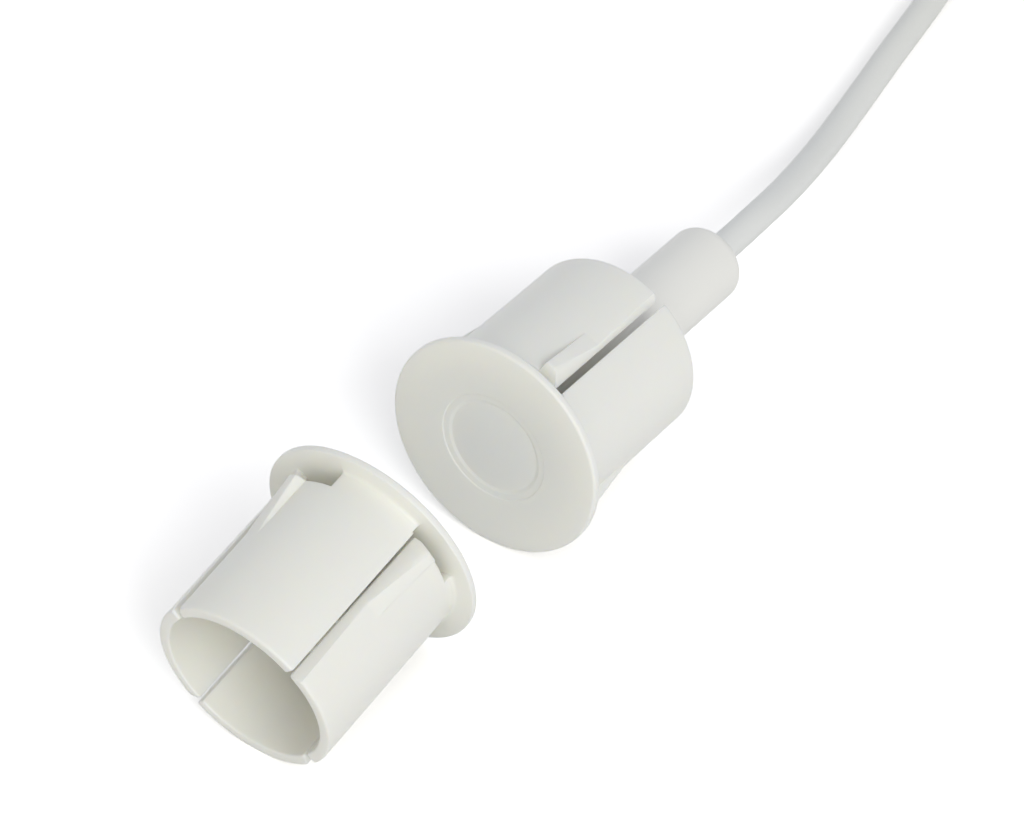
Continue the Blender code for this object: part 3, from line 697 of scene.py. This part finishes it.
def turned_piece(name, profile, material, place, node_name, closed=False, count=128):
    """A fine turned piece on a half's axis that stands for a node."""
    verts, faces = revolve(profile, count, closed)
    piece = new_piece(name, verts, faces, material, half_matrix(place))
    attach(piece, "root")
    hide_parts(node_name)


capsule_bore = INSERT_R - CAPSULE_WALL
turned_piece("reed_capsule_skin", [
    (capsule_bore, CAPSULE_START), (capsule_bore, CAPSULE_END - CAPSULE_END_WALL),
    (CABLE_HOLE, CAPSULE_END - CAPSULE_END_WALL),
    *arc((CABLE_HOLE + HOLE_ROUND, CAPSULE_END - HOLE_ROUND), HOLE_ROUND, 180, 90, 3),
    *arc((INSERT_R - CAPSULE_ROUND, CAPSULE_END - CAPSULE_ROUND), CAPSULE_ROUND, 90, 0, 12),
    (INSERT_R, CAPSULE_START),
], CAPSULE, SWITCH, "reed_capsule", closed=True)
turned_piece("magnet_skin", [
    (0.0, MAGNET_TOP),
    *arc((INSERT_R - MAGNET_ROUND, MAGNET_TOP - MAGNET_ROUND), MAGNET_ROUND, 90, 0, 4),
    *arc((INSERT_R - MAGNET_ROUND, CAPSULE_START + MAGNET_ROUND), MAGNET_ROUND, 0, -90, 4),
    (0.0, CAPSULE_START),
], NICKEL, MAGNET, "magnet")
turned_piece("magnet_resin_skin", [
    *((r, RESIN_TOP - dip) for r, dip in RESIN_DISH), (SOCKET_R - RESIN_SIDE_GAP, RESIN_TOP),
    (SOCKET_R - RESIN_SIDE_GAP, MAGNET_TOP + RESIN_GAP), (0.0, MAGNET_TOP + RESIN_GAP),
], RESIN, MAGNET, "magnet_resin")

# Nodes inside the capsule keep their shape
INNER = {
    "capsule_resin": RESIN, "reed_glass": GLASS, "reed_blade_front": REED,
    "reed_blade_rear": REED, "solder_front": TIN, "solder_rear": TIN, "solder_tamper": TIN,
    "lead_white": CORES["white"], "lead_brown": CORES["brown"],
    "lead_yellow": CORES["yellow"], "lead_green": CORES["green"],
}
for name, material in INNER.items():
    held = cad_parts[name]
    held.data.materials.clear()
    held.data.materials.append(material)


# Floor, light and background

# Each soft side: its direction around and above the object in degrees, and its colour
SOFT_SIDES = ((45.0, 5.0, (0.91, 0.95, 1.04)), (180.0, 5.0, (0.80, 0.785, 0.73)),
              (270.0, 5.0, (0.64, 0.632, 0.675)))
KEY = (-0.4096, -0.7094, 0.5736)
KEY_SIZE = 0.5
KEY_POWER = 3.70
KEY_COLOUR = (0.97, 1.0, 1.0)
FLOOR_HALF = 3.0
FLOOR_LIT = (0.52, 0.52, 0.52, 1.0)
FLOOR_SEEN = (1.62, 1.60, 1.58, 1.0)


def make_floor():
    """A wide pale floor: white to the camera, with the object's soft shadow on it."""
    mesh = bpy.data.meshes.new("floor")
    half = FLOOR_HALF
    mesh.from_pydata([(-half, -half, 0), (half, -half, 0), (half, half, 0), (-half, half, 0)],
                     [], [(0, 1, 2, 3)])
    floor = add_object("floor", mesh)
    material = bpy.data.materials.new("floor_white")
    material.use_nodes = True
    tree = material.node_tree
    tree.nodes.clear()
    link = tree.links.new
    out = node(tree, "ShaderNodeOutputMaterial")
    lit = node(tree, "ShaderNodeBsdfDiffuse", Color=FLOOR_LIT)
    seen = node(tree, "ShaderNodeBsdfDiffuse", Color=FLOOR_SEEN)
    mix = node(tree, "ShaderNodeMixShader")
    rays = node(tree, "ShaderNodeLightPath")
    either = node(tree, "ShaderNodeMath", operation="MAXIMUM")
    link(rays.outputs["Is Camera Ray"], either.inputs[0])
    link(rays.outputs["Is Glossy Ray"], either.inputs[1])
    any_of = node(tree, "ShaderNodeMath", operation="MAXIMUM")
    link(either.outputs[0], any_of.inputs[0])
    link(rays.outputs["Is Transmission Ray"], any_of.inputs[1])
    link(any_of.outputs[0], mix.inputs[0])
    link(lit.outputs[0], mix.inputs[1])
    link(seen.outputs[0], mix.inputs[2])
    link(mix.outputs[0], out.inputs["Surface"])
    mesh.materials.append(material)


def make_world():
    """Soft light from three sides, and plain white where the camera meets no surface."""
    world = bpy.data.worlds.new("studio")
    bpy.context.scene.world = world
    world.use_nodes = True
    tree = world.node_tree
    tree.nodes.clear()
    link = tree.links.new
    out = node(tree, "ShaderNodeOutputWorld")
    place = node(tree, "ShaderNodeTexCoord").outputs["Generated"]
    total = None
    for turn, rise, colour in SOFT_SIDES:
        flat = math.cos(math.radians(rise))
        side = node(tree, "ShaderNodeVectorMath", operation="DOT_PRODUCT")
        side.inputs[1].default_value = (flat * math.cos(math.radians(turn)),
                                        flat * math.sin(math.radians(turn)),
                                        math.sin(math.radians(rise)))
        link(place, side.inputs[0])
        fade = node(tree, "ShaderNodeMath", operation="MAXIMUM")
        fade.inputs[1].default_value = 0.0
        link(side.outputs["Value"], fade.inputs[0])
        glow = node(tree, "ShaderNodeBackground", Color=(*colour, 1.0))
        link(fade.outputs[0], glow.inputs["Strength"])
        if total is None:
            total = glow
        else:
            both = node(tree, "ShaderNodeAddShader")
            link(total.outputs[0], both.inputs[0])
            link(glow.outputs[0], both.inputs[1])
            total = both
    white = node(tree, "ShaderNodeBackground", Color=(1.0, 1.0, 1.0, 1.0), Strength=1.0)
    rays = node(tree, "ShaderNodeLightPath")
    mix = node(tree, "ShaderNodeMixShader")
    link(rays.outputs["Is Camera Ray"], mix.inputs[0])
    link(total.outputs[0], mix.inputs[1])
    link(white.outputs[0], mix.inputs[2])
    link(mix.outputs[0], out.inputs["Surface"])


def make_lamp(name, place, size, power, colour):
    """A square area lamp that points at the object."""
    data = bpy.data.lights.new(name, "AREA")
    data.size = size
    data.energy = power
    data.color = colour
    lamp = add_object(name, data)
    lamp.location = place
    lamp.rotation_euler = (-Vector(place)).to_track_quat("-Z", "Y").to_euler()


make_floor()
make_world()
make_lamp("key", KEY, KEY_SIZE, KEY_POWER, KEY_COLOUR)
bpy.context.scene.view_settings.view_transform = "Standard"
